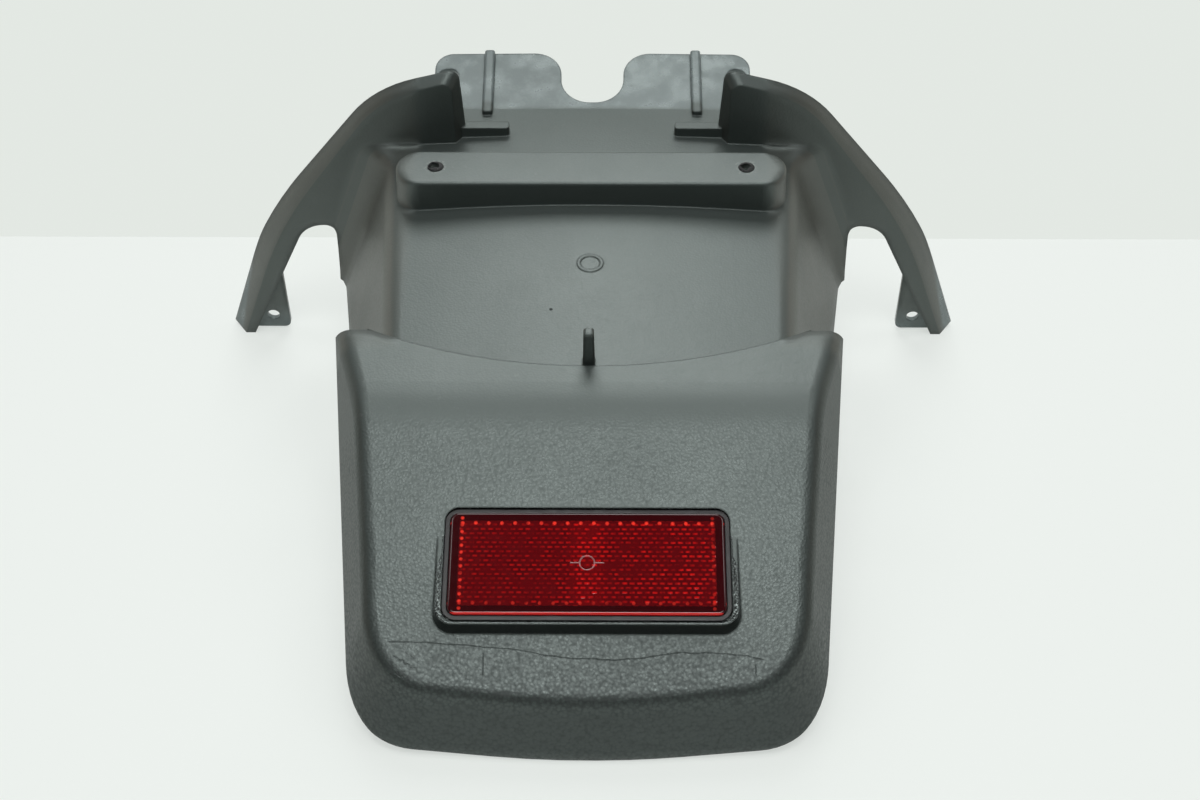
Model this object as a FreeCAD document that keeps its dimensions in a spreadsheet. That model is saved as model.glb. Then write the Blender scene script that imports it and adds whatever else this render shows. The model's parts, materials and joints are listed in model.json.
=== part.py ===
import FreeCAD, Part
import os
from math import atan2, pi, sin, tan

import Sketcher

V = FreeCAD.Vector
doc = FreeCAD.newDocument("rear_mudguard")

# Driving sizes in millimetres and degrees, in the plate panel's own frame:
# X to the right, Y back along the panel, Z square to it, zero at its front edge.
SIZES = {
    "wall": 2.6,
    # plate panel and its side walls
    "panel_front_half": 75.3,
    "panel_rear_half": 86.3,
    "panel_flare": 20,
    "panel_depth": 95,
    "panel_overlap": 5,
    "crease_radius": 8,
    "crown_slope": 4,
    "crown_radius": 800,
    "crown_end_y": 118,
    "rim_front_z": 20,
    "rim_mid_y": 72,
    "rim_mid_z": 60,
    "rim_rear_z": 75,
    "rim_radius": 45,
    # tongue and mounting flange
    "tongue_half": 68.8,
    "tongue_end_y": 158,
    "tongue_crown": 0.6,
    "flange_length": 31,
    "flange_rise": 13.5,
    "flange_corner": 8,
    "flange_hole_dia": 8.9,
    "flange_hole_half": 62.8,
    "flange_hole_end": 12.8,
    "notch_half": 13.5,
    "notch_depth": 27,
    "notch_round": 12.5,
    "notch_mouth": 12,
    "rib_half_pitch": 45,
    "rib_width": 4.4,
    "rib_height": 2.6,
    "rib_overrun": 4,
    # flap
    "flap_reach": 126,
    "flap_drop": 67.5,
    "flap_margin": 5,
    "flap_flare": 22,
    "flap_front_half": 85.4,
    "flap_side_slope": 15.7,
    "flap_corner": 34,
    "flap_bow_slope": 4.5,
    "flap_bow_radius": 450,
    "flap_step": 2,
    "step_radius": 190,
    "step_slope": 26,
    "step_flat_x": 82,
    "step_corner": 8,
    "flap_break_y": 18.5,
    "flap_break_radius": 50,
    "flap_slope_upper": 23,
    "flap_mid_y": 70,
    "flap_mid_radius": 300,
    "flap_slope_lower": 27,
    "flap_edge_radius": 7,
    "flap_rim_slope": 24.3,
    # wings
    "wing_y": 136,
    "wing_drop": 113.8,
    "wing_inner": 57.5,
    "wing_peak": 29.5,
    "wing_peak_radius": 5,
    "wing_bend_x": 88.1,
    "wing_bend_radius": 62,
    "wing_sweep_x": 139,
    "wing_sweep_radius": 260,
    "wing_slope_top": 16,
    "wing_slope_mid": 54.2,
    "wing_slope_low": 69.6,
    "wing_lip": 4.4,
    "wing_depth": 16,
    "wing_flare": 34,
    "wing_back_top": 2.5,
    "wing_back_mid": 10,
    "wing_back_mid_z": 60,
    "wing_back_tip": 9,
    "wing_back_radius": 120,
    "wing_edge_radius": 1.8,
    "wing_blend": 14,
    "arch_outer_x": 127,
    "arch_inner_x": 113.4,
    "arch_z": 47.5,
    "arch_outer_radius": 13,
    "arch_inner_radius": 5,
    # tabs at the wing tips
    "tab_set_back": 4,
    "tab_inner_x": 142,
    "tab_top_z": 74,
    "tab_lift": 0.4,
    "tab_corner": 3,
    "tab_hole_dia": 5.8,
    "tab_hole_x": 149.4,
    "tab_hole_z": 106,
    # plate bar with its two screw holes
    "bar_length": 160,
    "bar_width": 22.4,
    "bar_end_radius": 10.8,
    "bar_height": 10.7,
    "bar_y": 104.6,
    "bar_draft": 3,
    "bar_edge_radius": 1.2,
    "screw_half_pitch": 63,
    "screw_dia": 4.6,
    # stop peg, hook ledges and moulding gate mark
    "peg_width": 4.6,
    "peg_depth": 5,
    "peg_height": 16,
    "peg_corner": 1.2,
    "peg_y": 4,
    "peg_draft": 1.2,
    "ledge_inner": 35,
    "ledge_length": 26,
    "ledge_depth": 4.6,
    "ledge_height": 3.4,
    "ledge_gap": 1,
    "ledge_corner": 1.5,
    "gate_y": 58.4,
    "gate_dia": 10.4,
    "gate_inner_dia": 7.6,
    "gate_height": 0.35,
    # reflector and its seat
    "lens_length": 96,
    "lens_width": 38,
    "lens_corner": 3,
    "lens_thick": 4,
    "lens_proud": 1,
    "lens_edge_radius": 0.8,
    "ring_dia": 5.2,
    "ring_width": 0.5,
    "ring_depth": 0.2,
    "reflector_y": -75.2,
    "reflector_z": -19.8,
    "reflector_slope": 15,
    "housing_rim": 1.6,
    "housing_floor": 2.2,
    "seat_rim": 1,
    "seat_side": 1.4,
    "seat_sink": 0.6,
    "seat_draft": 9,
    "seat_skirt": 7,
    "fit_gap": 0.2,
    "stud_dia": 5,
    "stud_reach": 10.5,
    "stud_head_dia": 11,
    "stud_head_thick": 1.2,
    "washer_dia": 13,
    "washer_thick": 1.2,
    "nut_across": 8,
    "nut_thick": 4,
}

sheet = doc.addObject("Spreadsheet::Sheet", "Sizes")
for row, (alias, value) in enumerate(SIZES.items(), start=1):
    sheet.set(f"A{row}", alias)
    sheet.set(f"B{row}", str(value))
    sheet.setAlias(f"B{row}", alias)
doc.recompute()


def bound(text):
    """Name the sheet before each alias in an expression."""
    parts = []
    word = ""
    for letter in str(text) + " ":
        if letter.isalnum() or letter == "_":
            word += letter
            continue
        parts.append(f"Sizes.{word}" if word in SIZES else word)
        parts.append(letter)
        word = ""
    return "".join(parts).strip()


def number(text):
    """Value of an expression of sheet sizes."""
    return float(sheet.evalExpression(bound(text)))


def bind(thing, prop, text):
    thing.setExpression(prop, bound(text))


def add_body(name, y="0", z="0", tilt="0"):
    """Body whose frame stands at y and z, tilted up towards the back."""
    body = doc.addObject("PartDesign::Body", name)
    if (y, z, tilt) != ("0", "0", "0"):
        body.Placement = FreeCAD.Placement(V(), FreeCAD.Rotation(V(1, 0, 0), 1))
        bind(body, "Placement.Base.y", y)
        bind(body, "Placement.Base.z", z)
        bind(body, "Placement.Rotation.Angle", tilt)
    return body


def add_sketch(body, name, role, offset="0"):
    """Sketch on an origin plane of the body, moved along the plane's normal."""
    sketch = body.newObject("Sketcher::SketchObject", name)
    plane = next(f for f in body.Origin.OriginFeatures if f.Role == role)
    sketch.AttachmentSupport = [(plane, "")]
    sketch.MapMode = "FlatFace"
    bind(sketch, "AttachmentOffset.Base.z", offset)
    return sketch


def fix_point(sketch, geo, pos, corner):
    """Hold a point at its two expressions, measured from the sketch's origin."""
    for kind, text in (("DistanceX", corner[0]), ("DistanceY", corner[1])):
        rule = Sketcher.Constraint(kind, -1, 1, geo, pos, number(text))
        index = sketch.addConstraint(rule)
        bind(sketch, f"Constraints[{index}]", text)


def outline(sketch, corners):
    """Closed outline of straight sides. A corner is x, y and, if rounded, a radius."""
    count = len(corners)
    spots = [V(number(c[0]), number(c[1]), 0) for c in corners]
    leave = list(spots)
    reach = list(spots)
    arcs = {}
    for i, corner in enumerate(corners):
        if len(corner) < 3:
            continue
        radius = number(corner[2])
        back = (spots[i - 1] - spots[i]).normalize()
        ahead = (spots[(i + 1) % count] - spots[i]).normalize()
        half = back.getAngle(ahead) / 2
        reach[i] = spots[i] + back * (radius / tan(half))
        leave[i] = spots[i] + ahead * (radius / tan(half))
        centre = spots[i] + (back + ahead).normalize() * (radius / sin(half))
        turns_left = back.cross(ahead).z < 0
        start = (reach[i] if turns_left else leave[i]) - centre
        angle = atan2(start.y, start.x)
        ring = Part.Circle(centre, V(0, 0, 1), radius)
        arcs[i] = (Part.ArcOfCircle(ring, angle, angle + pi - 2 * half), turns_left)
    sides = []
    for i in range(count):
        side = Part.LineSegment(leave[i], reach[(i + 1) % count])
        sides.append(sketch.addGeometry(side, False))
    for i, corner in enumerate(corners):
        into, out = sides[i - 1], sides[i]
        if i not in arcs:
            sketch.addConstraint(Sketcher.Constraint("Coincident", into, 2, out, 1))
            fix_point(sketch, out, 1, corner)
            continue
        curve, turns_left = arcs[i]
        arc = sketch.addGeometry(curve, False)
        first, last = (1, 2) if turns_left else (2, 1)
        sketch.addConstraint(Sketcher.Constraint("Tangent", into, 2, arc, first))
        sketch.addConstraint(Sketcher.Constraint("Tangent", arc, last, out, 1))
        index = sketch.addConstraint(Sketcher.Constraint("Radius", arc, number(corner[2])))
        bind(sketch, f"Constraints[{index}]", corner[2])
        tip = sketch.addGeometry(Part.Point(spots[i]), True)
        fix_point(sketch, tip, 1, corner)
        sketch.addConstraint(Sketcher.Constraint("PointOnObject", tip, 1, into))
        sketch.addConstraint(Sketcher.Constraint("PointOnObject", tip, 1, out))


def rectangle(sketch, half_x, half_y, radius, x="0", y="0"):
    """Rounded rectangle about a centre."""
    outline(sketch, [
        (f"{x} - ({half_x})", f"{y} - ({half_y})", radius),
        (f"{x} + ({half_x})", f"{y} - ({half_y})", radius),
        (f"{x} + ({half_x})", f"{y} + ({half_y})", radius),
        (f"{x} - ({half_x})", f"{y} + ({half_y})", radius),
    ])


def circle(sketch, x, y, dia):
    """Circle with its centre and diameter held."""
    spot = V(number(x), number(y), 0)
    geo = sketch.addGeometry(Part.Circle(spot, V(0, 0, 1), number(dia) / 2), False)
    index = sketch.addConstraint(Sketcher.Constraint("Diameter", geo, number(dia)))
    bind(sketch, f"Constraints[{index}]", dia)
    fix_point(sketch, geo, 3, (x, y))


def pad(body, sketch, length, taper="0", flip=False):
    feature = body.newObject("PartDesign::Pad", f"{sketch.Name}_pad")
    feature.Profile = sketch
    bind(feature, "Length", length)
    bind(feature, "TaperAngle", taper)
    feature.Reversed = flip
    return feature


def pocket_through(body, sketch):
    """Cut that runs through everything on both sides of its sketch."""
    feature = body.newObject("PartDesign::Pocket", f"{sketch.Name}_cut")
    feature.Profile = sketch
    feature.SideType = "Symmetric"
    feature.Type = "ThroughAll"
    return feature


def loft(body, sketches, name):
    feature = body.newObject("PartDesign::AdditiveLoft", name)
    feature.Profile = sketches[0]
    feature.Sections = sketches[1:]
    feature.Ruled = True
    return feature


def round_edges(body, name, radius, wanted):
    """Fillet the edges of the body's last feature that a test picks."""
    doc.recompute()
    base = body.Tip
    names = [f"Edge{n}" for n, edge in enumerate(base.Shape.Edges, start=1) if wanted(base.Shape, edge)]
    feature = body.newObject("PartDesign::Fillet", name)
    feature.Base = (base, names)
    bind(feature, "Radius", radius)
    return feature


def faces_of(shape, edge):
    return [face for face in shape.Faces if any(edge.isSame(e) for e in face.Edges)]


def normal_of(face):
    u0, u1, v0, v1 = face.ParameterRange
    return face.normalAt((u0 + u1) / 2, (v0 + v1) / 2)


# Plate panel: crowned top, creased over into flared side walls, then the flat flange
def panel_section(body, name, y, rise, crown, inset, swell="0"):
    half = f"(panel_front_half + (panel_rear_half - panel_front_half) * ({y}) / wing_y + {swell})"
    top_half = f"({half} - {inset} * (1 / cos(panel_flare) - tan(panel_flare)))"
    apex = f"({rise} + crown_radius * (1 / cos({crown}) - 1) - {inset} / cos({crown}))"
    crease = f"({apex} - {top_half} * tan({crown}))"
    foot = f"({top_half} + (panel_depth + {crease}) * tan(panel_flare))"
    sketch = add_sketch(body, name, "XZ_Plane", f"-({y})")
    outline(sketch, [
        (f"-{foot}", "-panel_depth"),
        (f"-{top_half}", crease, f"crease_radius - {inset}"),
        ("0", apex, f"crown_radius - {inset}"),
        (top_half, crease, f"crease_radius - {inset}"),
        (foot, "-panel_depth"),
    ])
    return sketch


def panel_block(name, inset, front, past, swells=False):
    body = add_body(name)
    far = f"(flange_length + {past})"
    end_y = f"(tongue_end_y + {far} * cos(flange_rise))"
    stations = [
        (front, "0", "crown_slope", "0"),
        ("crown_end_y", "0", "crown_slope", "0"),
        ("tongue_end_y", "0", "tongue_crown", "0"),
        (end_y, f"({far} * sin(flange_rise))", "tongue_crown", "0"),
    ]
    if swells:
        fall = "(crown_slope - tongue_crown) / (tongue_end_y - crown_end_y)"
        curve = [
            (f"(wing_y - wing_blend * (1 - sin({turn})))", f"(wing_blend * (1 - cos({turn})))")
            for turn in (0, 22, 42, 60, 76)
        ]
        curve.append(("(wing_y + wall / 2)", "wing_blend"))
        stations[2:2] = [(y, "0", f"(crown_slope - ({y} - crown_end_y) * {fall})", swell) for y, swell in curve]
    sketches = [
        panel_section(body, f"{name}_section_{n}", y, rise, crown, inset, swell)
        for n, (y, rise, crown, swell) in enumerate(stations, start=1)
    ]
    loft(body, sketches, f"{name}_loft")
    return body


panel = panel_block("panel", "0", "-panel_overlap", "wall", swells=True)
rim = add_sketch(panel, "panel_rim", "YZ_Plane")
outline(rim, [
    ("-panel_overlap * 4", "-rim_front_z"),
    ("0", "-rim_front_z"),
    ("rim_mid_y", "-rim_mid_z", "rim_radius"),
    ("wing_y", "-rim_rear_z"),
    ("tongue_end_y + flange_length * 2", "-rim_rear_z"),
    ("tongue_end_y + flange_length * 2", "-panel_depth * 2"),
    ("-panel_overlap * 4", "-panel_depth * 2"),
])
pocket_through(panel, rim)
end_y = "(tongue_end_y + flange_length * cos(flange_rise))"
back_y = "(wing_y + wall)"
side_x = "(panel_rear_half + panel_depth)"
plan = add_sketch(panel, "flange_plan", "XY_Plane")
outline(plan, [
    (f"-{side_x}", back_y),
    ("-tongue_half", back_y),
    ("-tongue_half", end_y, "flange_corner"),
    ("-notch_half", end_y, "notch_mouth"),
    ("-notch_half", f"{end_y} - notch_depth", "notch_round"),
    ("notch_half", f"{end_y} - notch_depth", "notch_round"),
    ("notch_half", end_y, "notch_mouth"),
    ("tongue_half", end_y, "flange_corner"),
    ("tongue_half", back_y),
    (side_x, back_y),
    (side_x, f"{end_y} + flange_length"),
    (f"-{side_x}", f"{end_y} + flange_length"),
])
pocket_through(panel, plan)
panel_hollow = panel_block("panel_hollow", "wall", "-panel_overlap * 2", "flange_corner")


# Flap: drafted block with a bowed front, cut to its folded top and hollowed alike
def flap_block(name, inset):
    skin = f"({inset} / cos(flap_flare))"
    turn = "(flap_side_slope + flap_bow_slope)"
    in_x = f"({skin} * (cos(flap_bow_slope) - sin(flap_side_slope)) / cos({turn}))"
    in_y = f"({skin} * (cos(flap_side_slope) - sin(flap_bow_slope)) / cos({turn}))"
    base = "(flap_drop + flap_margin)"
    nose = "(flap_reach + flap_margin * tan(flap_flare) + flap_bow_radius * (1 / cos(flap_bow_slope) - 1))"
    corner_y = f"({nose} - flap_front_half * tan(flap_bow_slope))"
    back_y = "(panel_front_half + flap_drop)"
    back_half = f"(flap_front_half + ({corner_y} + {back_y}) * tan(flap_side_slope) - {skin} / cos(flap_side_slope))"
    body = add_body(name)
    plan = add_sketch(body, f"{name}_plan", "XY_Plane", f"-{base}")
    outline(plan, [
        (f"-(flap_front_half - {in_x})", f"-({corner_y} - {in_y})"),
        ("0", f"-({nose} - {skin} / cos(flap_bow_slope))"),
        (f"flap_front_half - {in_x}", f"-({corner_y} - {in_y})"),
        (back_half, back_y),
        (f"-{back_half}", back_y),
    ])
    pad(body, plan, f"{base} + flap_step", "-flap_flare")
    tall = number("flap_drop") / 2

    def nose_edge(shape, edge):
        spot = edge.CenterOfMass
        return edge.BoundBox.ZLength > tall and spot.y < 0 and abs(spot.x) < 1

    def corner_edge(shape, edge):
        spot = edge.CenterOfMass
        return edge.BoundBox.ZLength > tall and spot.y < 0 and abs(spot.x) > number("flap_front_half / 2")

    round_edges(body, f"{name}_bow", f"flap_bow_radius - {inset}", nose_edge)
    round_edges(body, f"{name}_corner", f"flap_corner - {inset}", corner_edge)
    mean = "((flap_slope_upper + flap_slope_lower) / 2)"
    mid_z = "(flap_step - (flap_mid_y - flap_break_y) * tan(flap_slope_upper))"
    end_y = "(flap_reach * 2)"
    end_z = f"({mid_z} - ({end_y} - flap_mid_y) * tan(flap_slope_lower))"
    top = add_sketch(body, f"{name}_top", "YZ_Plane")
    outline(top, [
        (f"{back_y} * 2", f"flap_step - {inset}"),
        (f"-flap_break_y + {inset} * tan(flap_slope_upper / 2)", f"flap_step - {inset}",
         f"flap_break_radius - {inset}"),
        (f"-flap_mid_y + {inset} * sin({mean})", f"{mid_z} - {inset} * cos({mean})",
         f"flap_mid_radius - {inset}"),
        (f"-{end_y} + {inset} * sin(flap_slope_lower)", f"{end_z} - {inset} * cos(flap_slope_lower)"),
        (f"-{end_y}", "flap_drop"),
        (f"{back_y} * 2", "flap_drop"),
    ])
    pocket_through(body, top)

    def top_edge(shape, edge):
        spot = edge.valueAt((edge.FirstParameter + edge.LastParameter) / 2)
        flat = []
        for face in faces_of(shape, edge):
            facing = face.normalAt(*face.Surface.parameter(spot))
            flat.append(abs(facing.x) < 1e-6 and abs(facing.z) > number("cos(flap_slope_lower) - 0.02"))
        return len(flat) == 2 and flat[0] != flat[1] and spot.y < number(f"{back_y} / 2")

    round_edges(body, f"{name}_edge", f"flap_edge_radius - {inset}", top_edge)
    step = add_sketch(body, f"{name}_step", "XY_Plane")
    valley = f"(-step_radius * (1 / cos(step_slope) - 1) - {inset} / cos(step_slope))"
    far = f"({back_y} * 2)"
    flat_y = f"({valley} + step_flat_x * tan(step_slope))"
    outline(step, [
        (f"-{far}", flat_y),
        ("-step_flat_x", flat_y, f"step_corner - {inset}"),
        ("0", valley, f"step_radius + {inset}"),
        ("step_flat_x", flat_y, f"step_corner - {inset}"),
        (far, flat_y),
        (far, f"{far} * 2"),
        (f"-{far}", f"{far} * 2"),
    ])
    pocket_through(body, step)
    return body


flap = flap_block("flap", "0")
flap_rim = add_sketch(flap, "flap_rim", "YZ_Plane")
front_y = "(flap_reach * 2)"
rear_y = "flap_reach"
outline(flap_rim, [
    (f"-{front_y}", f"-flap_drop - ({front_y} - flap_reach) * tan(flap_rim_slope)"),
    (rear_y, f"-flap_drop + ({rear_y} + flap_reach) * tan(flap_rim_slope)"),
    (rear_y, "-flap_reach * 3"),
    (f"-{front_y}", "-flap_reach * 3"),
])
pocket_through(flap, flap_rim)
flap_hollow = flap_block("flap_hollow", "wall")


# Wing: front wall with a flared strip round its arched edge, and a holed tab behind its tip
bend_z = "(wing_peak - (wing_bend_x - wing_inner) * tan(wing_slope_top))"
sweep_z = f"({bend_z} - (wing_sweep_x - wing_bend_x) * tan(wing_slope_mid))"
tip_x = f"(wing_sweep_x + (wing_drop + {sweep_z}) / tan(wing_slope_low))"


def wing_block(name, start, inset, foot):
    """Flared block behind the wing's arched edge, with its long corners rounded."""
    body = add_body(name)
    sketch = add_sketch(body, f"{name}_edge", "XZ_Plane", f"-(wing_y + {start})")
    shift = f"({inset} / cos(wing_flare) - ({start}) * tan(wing_flare))"
    inner = f"(wing_inner + {shift})"
    corners = [("-" + inner, f"wing_peak - {shift} / cos(wing_slope_top) - {shift} * tan(wing_slope_top)")]
    for x, z, above, below in (
        ("wing_bend_x", bend_z, "wing_slope_top", "wing_slope_mid"),
        ("wing_sweep_x", sweep_z, "wing_slope_mid", "wing_slope_low"),
    ):
        mean = f"(({above} + {below}) / 2)"
        along = f"({shift} / cos(({below} - {above}) / 2))"
        corners.append((f"-({x} - {along} * sin({mean}))", f"{z} - {along} * cos({mean})"))
    foot_x = f"({tip_x} - {shift} / sin(wing_slope_low) + ({foot} - wing_drop) / tan(wing_slope_low))"
    corners.append(("-" + foot_x, f"-({foot})"))
    corners.append(("-" + inner, f"-({foot})"))
    outline(sketch, corners)
    pad(body, sketch, "wing_depth", "wing_flare", flip=True)
    deep = number("wing_depth / 2")

    def near(corner):
        x, z = number(corner[0]), number(corner[1])

        def test(shape, edge):
            ends = [vertex.Point for vertex in edge.Vertexes]
            first = min(ends, key=lambda spot: spot.y)
            return edge.BoundBox.YLength > deep and abs(first.x - x) < 0.1 and abs(first.z - z) < 0.1

        return test

    for n, radius in enumerate(("wing_peak_radius", "wing_bend_radius", "wing_sweep_radius")):
        round_edges(body, f"{name}_round_{n + 1}", f"{radius} - {inset}", near(corners[n]))
    return body


wing_outer = wing_block("wing_outer", "0", "0", "wing_drop")
back = add_sketch(wing_outer, "wing_back", "YZ_Plane")
outline(back, [
    ("wing_y + wing_back_top", "wing_peak * 2"),
    ("wing_y + wing_back_mid", "-wing_back_mid_z", "wing_back_radius"),
    ("wing_y + wing_back_tip", "-wing_drop"),
    ("wing_y - wing_depth", "-wing_drop"),
    ("wing_y - wing_depth", "-wing_drop * 2"),
    ("wing_y + wing_depth * 2", "-wing_drop * 2"),
    ("wing_y + wing_depth * 2", "wing_peak * 2"),
])
pocket_through(wing_outer, back)
wing_hollow = wing_block("wing_hollow", "wall", "wall", "(wing_drop + wall * 4)")


def arch_block(name, start, length):
    """Space of the wing's arch, from a distance behind the front wall."""
    body = add_body(name)
    sketch = add_sketch(body, f"{name}_plan", "XZ_Plane", f"-(wing_y + {start})")
    outline(sketch, [
        (f"-({tip_x} - wing_lip)", "-wing_drop"),
        ("-arch_outer_x", "-arch_z", "arch_outer_radius"),
        ("-arch_inner_x", "-arch_z", "arch_inner_radius"),
        ("-arch_inner_x", "-rim_rear_z"),
        ("0", "-rim_rear_z"),
        ("0", "-wing_drop - wall"),
        (f"-({tip_x} - wing_lip)", "-wing_drop - wall"),
    ])
    pad(body, sketch, length, flip=True)
    return body


arch = arch_block("wing_arch", "-wall", "wing_depth + wall * 2")
arch_trim = arch_block("arch_trim", "-wing_blend * 1.2", "wing_blend * 1.2 + wall * 1.2")
tab_body = add_body("wing_tab")
tab = add_sketch(tab_body, "tab_plan", "XZ_Plane", "-(wing_y + tab_set_back)")
tab_foot = "(wing_drop - tab_lift)"
tab_edge = f"({tip_x} + tab_set_back * tan(wing_flare) - wall / 4)"
outline(tab, [
    ("-tab_inner_x", "-tab_top_z"),
    (f"-({tab_edge} - (wing_drop - tab_top_z) / tan(wing_slope_low))", "-tab_top_z"),
    (f"-({tab_edge} - tab_lift / tan(wing_slope_low))", f"-{tab_foot}"),
    ("-tab_inner_x", f"-{tab_foot}", "tab_corner"),
])
circle(tab, "-tab_hole_x", "-tab_hole_z", "tab_hole_dia")
pad(tab_body, tab, "wall", flip=True)
doc.recompute()


def join(kind, name, **links):
    thing = doc.addObject(kind, name)
    for prop, value in links.items():
        setattr(thing, prop, value)
    doc.recompute()
    return thing


wing_void = join("Part::MultiFuse", "wing_void", Shapes=[wing_hollow, arch])
wing_shell = join("Part::Cut", "wing_shell", Base=wing_outer, Tool=wing_void)
wing = join("Part::MultiFuse", "wing", Shapes=[wing_shell, tab_body], Refine=True)
wing_right = join("Part::Mirroring", "wing_right", Source=wing, Normal=V(1, 0, 0))
trim_right = join("Part::Mirroring", "trim_right", Source=arch_trim, Normal=V(1, 0, 0))


# Plate bar: a drafted pill, hollow from below
def bar_block(name, inset, foot):
    body = add_body(name)
    sketch = add_sketch(body, f"{name}_plan", "XY_Plane", f"-({foot})")
    rectangle(sketch, f"bar_length / 2 - {inset}", f"bar_width / 2 - {inset}",
              f"bar_end_radius - {inset}", y="bar_y")
    pad(body, sketch, f"bar_height - {inset} + {foot}", "-bar_draft")
    return body


def top_rim(shape, edge):
    """Edges round the highest flat face of a shape."""
    top = shape.BoundBox.ZMax
    return edge.BoundBox.ZMin > top - 1e-4


bar = bar_block("bar", "0", "(wall * 2)")
round_edges(bar, "bar_edge", "bar_edge_radius", top_rim)
bar_hollow = bar_block("bar_hollow", "wall", "(wall * 4)")
screws = add_body("screw_holes")
screw_plan = add_sketch(screws, "screw_plan", "XY_Plane")
for side in ("-", ""):
    circle(screw_plan, f"{side}screw_half_pitch", "bar_y", "screw_dia")
pad(screws, screw_plan, "bar_height * 2")

# Stop peg behind the step, hook ledges behind the bar and the ring of the moulding gate
peg = add_body("peg")
peg_plan = add_sketch(peg, "peg_plan", "XY_Plane", "-wall")
rectangle(peg_plan, "peg_width / 2", "peg_depth / 2", "peg_corner", y="peg_y")
pad(peg, peg_plan, "wall + peg_height", "-peg_draft")
round_edges(peg, "peg_top", "peg_corner", top_rim)
ledges = add_body("ledges")
ledge_plan = add_sketch(ledges, "ledge_plan", "XY_Plane", "-wall")
for side in ("-", ""):
    rectangle(ledge_plan, "ledge_length / 2", "ledge_depth / 2", "ledge_corner",
              x=f"{side}(ledge_inner + ledge_length / 2)",
              y="wing_y + wall + ledge_gap + ledge_depth / 2")
pad(ledges, ledge_plan, "wall + ledge_height")
gate = add_body("gate_ring")
gate_plan = add_sketch(gate, "gate_plan", "XY_Plane", "-wall / 2")
circle(gate_plan, "0", "gate_y", "gate_dia")
circle(gate_plan, "0", "gate_y", "gate_inner_dia")
pad(gate, gate_plan, "wall / 2 + gate_height")

# Flange ribs and holes, square to the flange
ribs = add_body("flange_ribs", "tongue_end_y", "0", "flange_rise")
rib_plan = add_sketch(ribs, "rib_plan", "XY_Plane", "-wall / 2")
for side in ("-", ""):
    rectangle(rib_plan, "rib_width / 2", "(flange_length + rib_overrun) / 2", "rib_width / 4",
              x=f"{side}rib_half_pitch", y="(flange_length - rib_overrun) / 2")
pad(ribs, rib_plan, "wall / 2 + rib_height")
round_edges(ribs, "rib_top", "rib_width / 4", top_rim)
flange_holes = add_body("flange_holes", "tongue_end_y", "0", "flange_rise")
hole_plan = add_sketch(flange_holes, "hole_plan", "XY_Plane", "-wall * 3")
for side in ("-", ""):
    circle(hole_plan, f"{side}flange_hole_half", "flange_length - flange_hole_end", "flange_hole_dia")
pad(flange_holes, hole_plan, "wall * 6")

# Reflector seat, in the reflector's own frame with zero on the housing's rim
SEAT = ("reflector_y", "reflector_z", "reflector_slope")
housing_thick = "(lens_thick - lens_proud + housing_floor)"
housing_x = "(lens_length / 2 + fit_gap + housing_rim)"
housing_y = "(lens_width / 2 + fit_gap + housing_rim)"
housing_round = "(lens_corner + fit_gap + housing_rim)"
seat = add_body("seat", *SEAT)
seat_plan = add_sketch(seat, "seat_plan", "XY_Plane", "-seat_sink")
seat_x = f"({housing_x} + fit_gap + seat_rim + seat_side)"
seat_y = f"({housing_y} + fit_gap + seat_rim)"
seat_round = f"({housing_round} + fit_gap + seat_rim)"
rectangle(seat_plan, seat_x, seat_y, seat_round)
pad(seat, seat_plan, f"{housing_thick} - seat_sink + wall + seat_skirt", "seat_draft", flip=True)
seat_hollow = add_body("seat_hollow", *SEAT)
hollow_plan = add_sketch(seat_hollow, "seat_hollow_plan", "XY_Plane", f"-({housing_thick} + wall)")
rectangle(hollow_plan, f"{seat_x} - wall", f"{seat_y} - wall", f"{seat_round} - wall")
pad(seat_hollow, hollow_plan, "seat_skirt * 3", "seat_draft", flip=True)
seat_pocket = add_body("seat_pocket", *SEAT)
pocket_plan = add_sketch(seat_pocket, "seat_pocket_plan", "XY_Plane", f"-{housing_thick}")
rectangle(pocket_plan, f"{housing_x} + fit_gap", f"{housing_y} + fit_gap", f"{housing_round} + fit_gap")
pad(seat_pocket, pocket_plan, f"{housing_thick} * 4")
stud_hole = add_body("stud_hole", *SEAT)
stud_plan = add_sketch(stud_hole, "stud_hole_plan", "XY_Plane")
circle(stud_plan, "0", "0", "stud_dia + 2 * fit_gap")
pad(stud_hole, stud_plan, f"{housing_thick} + wall * 3", flip=True)
doc.recompute()


# Mudguard: outer skin and details, hollowed from below, then the seat and every hole
skin = join("Part::MultiFuse", "skin", Shapes=[panel, flap, wing, wing_right], Refine=True)
solid = join("Part::MultiFuse", "solid", Shapes=[skin, bar, peg, ledges, gate, ribs])
hollow = join("Part::MultiFuse", "hollow", Shapes=[panel_hollow, flap_hollow, bar_hollow, arch_trim, trim_right])
shell = join("Part::Cut", "shell", Base=solid, Tool=hollow)
seated = join("Part::MultiFuse", "seated", Shapes=[shell, seat])
voids = join("Part::MultiFuse", "voids", Shapes=[seat_pocket, seat_hollow, stud_hole, screws, flange_holes])
mudguard = join("Part::Cut", "mudguard", Base=seated, Tool=voids, Refine=True)


# Reflector: housing with a lens pocket in front and a recess for the stud's head behind
def plain_pad(name, foot, length, radius="0", **shape):
    """Straight block in the reflector's frame, from a rectangle or a circle."""
    body = add_body(name, *SEAT)
    sketch = add_sketch(body, f"{name}_plan", "XY_Plane", foot)
    if "dia" in shape:
        circle(sketch, "0", "0", shape["dia"])
    else:
        rectangle(sketch, shape["half_x"], shape["half_y"], radius)
    pad(body, sketch, length)
    return body


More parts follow.
